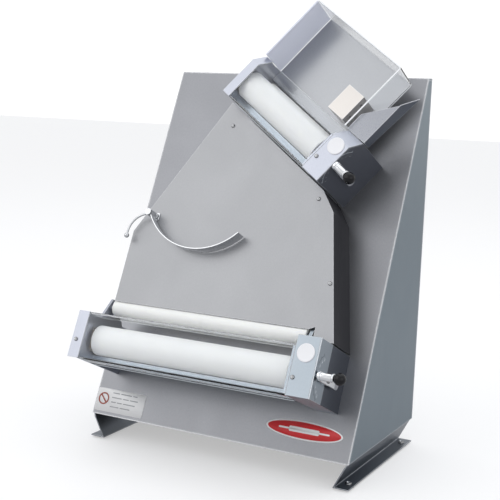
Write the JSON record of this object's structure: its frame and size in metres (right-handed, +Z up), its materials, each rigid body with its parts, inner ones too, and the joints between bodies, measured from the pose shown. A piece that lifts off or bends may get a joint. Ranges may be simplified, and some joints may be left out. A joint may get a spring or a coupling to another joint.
{
  "type": "dough sheeter",
  "caption": "Inclined bench dough sheeter with a small upper and a wide lower roller unit, a dough tray, a chute with a rocker arm, clear guards and gap levers.",
  "frame": {"origin": "on the floor under the middle of the machine's outer box", "axes": "+Z up, +X to the right seen from the front, the sloped front faces -Y"},
  "size_m": [0.5072, 0.3918, 0.7622],
  "materials": {
    "stainless_sheet": "fine brushed stainless sheet",
    "black_sheet": "black painted sheet",
    "satin_plate": "light satin stainless plate",
    "dark_dial": "dark grey printed plate with pressed dimples",
    "roller_white": "smooth white food plastic",
    "ground_steel": "ground and polished steel",
    "bronze": "plain bronze",
    "gear_iron": "cut steel gear, oiled",
    "pulley_alloy": "turned aluminium",
    "belt_rubber": "toothed rubber belt",
    "motor_enamel": "dark enamel on an aluminium housing",
    "zinc_steel": "zinc plated steel",
    "clear_guard": "clear polycarbonate sheet",
    "black_knob": "black moulded phenolic",
    "white_plug": "white moulded plastic",
    "foot_rubber": "black rubber pad",
    "gland_plastic": "black nylon",
    "switch_plastic": "black moulded plastic"
  },
  "bodies": {
    "frame": {"back_cover": "stainless_sheet", "cable_gland": "gland_plastic", "chute_plate": "stainless_sheet", "chute_side_walls": "black_sheet", "cover_plugs": "white_plug", "cover_screws": "zinc_steel", "dial_plates": "dark_dial", "dough_block": "stainless_sheet", "drive_belts": "belt_rubber", "foot_bolts": "zinc_steel", "front_panel": "stainless_sheet", "guide_roller_pin": "ground_steel", "left_foot_rail": "stainless_sheet", "left_side_panel": "stainless_sheet", "lower_end_cover": "satin_plate", "lower_guard": "clear_guard", "lower_left_plate": "satin_plate", "lower_right_plate": "satin_plate", "motor_brackets": "zinc_steel", "motors": "motor_enamel", "rear_bearings": "ground_steel", "right_foot_rail": "stainless_sheet", "right_side_panel": "stainless_sheet", "rocker_stud": "stainless_sheet", "rubber_feet": "foot_rubber", "scrapers": "ground_steel", "side_channel": "satin_plate", "switch_frame": "switch_plastic", "tray_back": "stainless_sheet", "tray_walls": "clear_guard", "upper_end_cover": "satin_plate", "upper_guard": "clear_guard", "upper_left_plate": "satin_plate", "upper_right_plate": "satin_plate"},
    "power_switch": {"power_switch": "switch_plastic"},
    "rocker_arm": {"rocker_arm": "stainless_sheet", "rocker_tail": "stainless_sheet"},
    "guide_roller": {"guide_roller": "roller_white"},
    "lower_rear_roller": {"lower_rear_roller": "roller_white", "lower_rear_shaft": "ground_steel", "lower_rear_gear": "gear_iron", "lower_roller_pulley": "pulley_alloy"},
    "lower_motor_output": {"lower_motor_pulley": "pulley_alloy"},
    "lower_gap_lever": {"lower_gap_lever": "ground_steel"},
    "lower_plunger": {"lower_plunger_knob": "black_knob"},
    "lower_carriage": {"lower_gap_blocks": "bronze"},
    "lower_front_roller": {"lower_front_roller": "roller_white", "lower_front_shaft": "ground_steel", "lower_front_gear": "gear_iron"},
    "upper_rear_roller": {"upper_rear_roller": "roller_white", "upper_rear_shaft": "ground_steel", "upper_rear_gear": "gear_iron", "upper_roller_pulley": "pulley_alloy"},
    "upper_motor_output": {"upper_motor_pulley": "pulley_alloy"},
    "upper_gap_lever": {"upper_gap_lever": "ground_steel"},
    "upper_plunger": {"upper_plunger_knob": "black_knob"},
    "upper_carriage": {"upper_gap_blocks": "bronze"},
    "upper_front_roller": {"upper_front_roller": "roller_white", "upper_front_shaft": "ground_steel", "upper_front_gear": "gear_iron"}
  },
  "joints": [
    {"name": "lower_rear_spin", "type": "hinge", "parent": "frame", "child": "lower_rear_roller", "pos_m": [0.106, -0.09198, 0.16725], "axis": [1, 0, 0], "continuous": true},
    {"name": "lower_motor_spin", "type": "hinge", "parent": "frame", "child": "lower_motor_output", "pos_m": [0.1885, -0.02554, 0.13677], "axis": [1, 0, 0], "continuous": true},
    {"name": "lower_lever_turn", "type": "hinge", "parent": "frame", "child": "lower_gap_lever", "pos_m": [0.206, -0.14291, 0.18093], "axis": [1, 0, 0], "range_deg": [-60, 60]},
    {"name": "lower_gap_slide", "type": "slide", "parent": "frame", "child": "lower_carriage", "axis": [0, -0.9536, 0.301], "range_m": [-0.002, 0.002]},
    {"name": "lower_front_spin", "type": "hinge", "parent": "lower_carriage", "child": "lower_front_roller", "pos_m": [0.106, -0.14195, 0.18303], "axis": [1, 0, 0], "continuous": true},
    {"name": "lower_plunger_pull", "type": "slide", "parent": "lower_gap_lever", "child": "lower_plunger", "axis": [1, 0, 0], "range_m": [0, 0.006], "stiffness_N_per_m": 800, "springref_m": -0.004},
    {"name": "upper_rear_spin", "type": "hinge", "parent": "frame", "child": "upper_rear_roller", "pos_m": [0.08239, 0.07029, 0.52093], "axis": [0.8141, -0.2422, -0.5278], "continuous": true},
    {"name": "upper_motor_spin", "type": "hinge", "parent": "frame", "child": "upper_motor_output", "pos_m": [0.14956, 0.11676, 0.4469], "axis": [0.8141, -0.2422, -0.5278], "continuous": true},
    {"name": "upper_lever_turn", "type": "hinge", "parent": "frame", "child": "upper_gap_lever", "pos_m": [0.15869, -0.00417, 0.48331], "axis": [0.8141, -0.2422, -0.5278], "range_deg": [-60, 60]},
    {"name": "upper_gap_slide", "type": "slide", "parent": "frame", "child": "upper_carriage", "axis": [-0.072, -0.944, 0.322], "range_m": [-0.002, 0.002]},
    {"name": "upper_front_spin", "type": "hinge", "parent": "upper_carriage", "child": "upper_front_roller", "pos_m": [0.07862, 0.02083, 0.5378], "axis": [0.8141, -0.2422, -0.5278], "continuous": true},
    {"name": "upper_plunger_pull", "type": "slide", "parent": "upper_gap_lever", "child": "upper_plunger", "axis": [0.8141, -0.2422, -0.5278], "range_m": [0, 0.006], "stiffness_N_per_m": 800, "springref_m": -0.004},
    {"name": "guide_roller_spin", "type": "hinge", "parent": "frame", "child": "guide_roller", "pos_m": [0.006, -0.09423, 0.23045], "axis": [1, 0, 0], "continuous": true},
    {"name": "rocker_swing", "type": "hinge", "parent": "frame", "child": "rocker_arm", "pos_m": [-0.166, 0.03229, 0.35393], "axis": [0, -0.9089, 0.417], "range_deg": [-50, 0], "stiffness_Nm_per_rad": 0.05, "springref_deg": 91.67},
    {"name": "power_switch_rock", "type": "hinge", "parent": "frame", "child": "power_switch", "pos_m": [-0.245, 0.06009, 0.194], "axis": [0, 1, 0], "range_deg": [0, 8]}
  ],
  "couplings": [
    {"joint": "lower_motor_spin", "follows": "lower_rear_spin", "ratio": 1},
    {"joint": "lower_front_spin", "follows": "lower_rear_spin", "ratio": -1},
    {"joint": "lower_lever_turn", "follows": "lower_gap_slide", "rad_per_m": 523.59},
    {"joint": "upper_motor_spin", "follows": "upper_rear_spin", "ratio": 1},
    {"joint": "upper_front_spin", "follows": "upper_rear_spin", "ratio": -1},
    {"joint": "upper_lever_turn", "follows": "upper_gap_slide", "rad_per_m": 523.59}
  ]
}
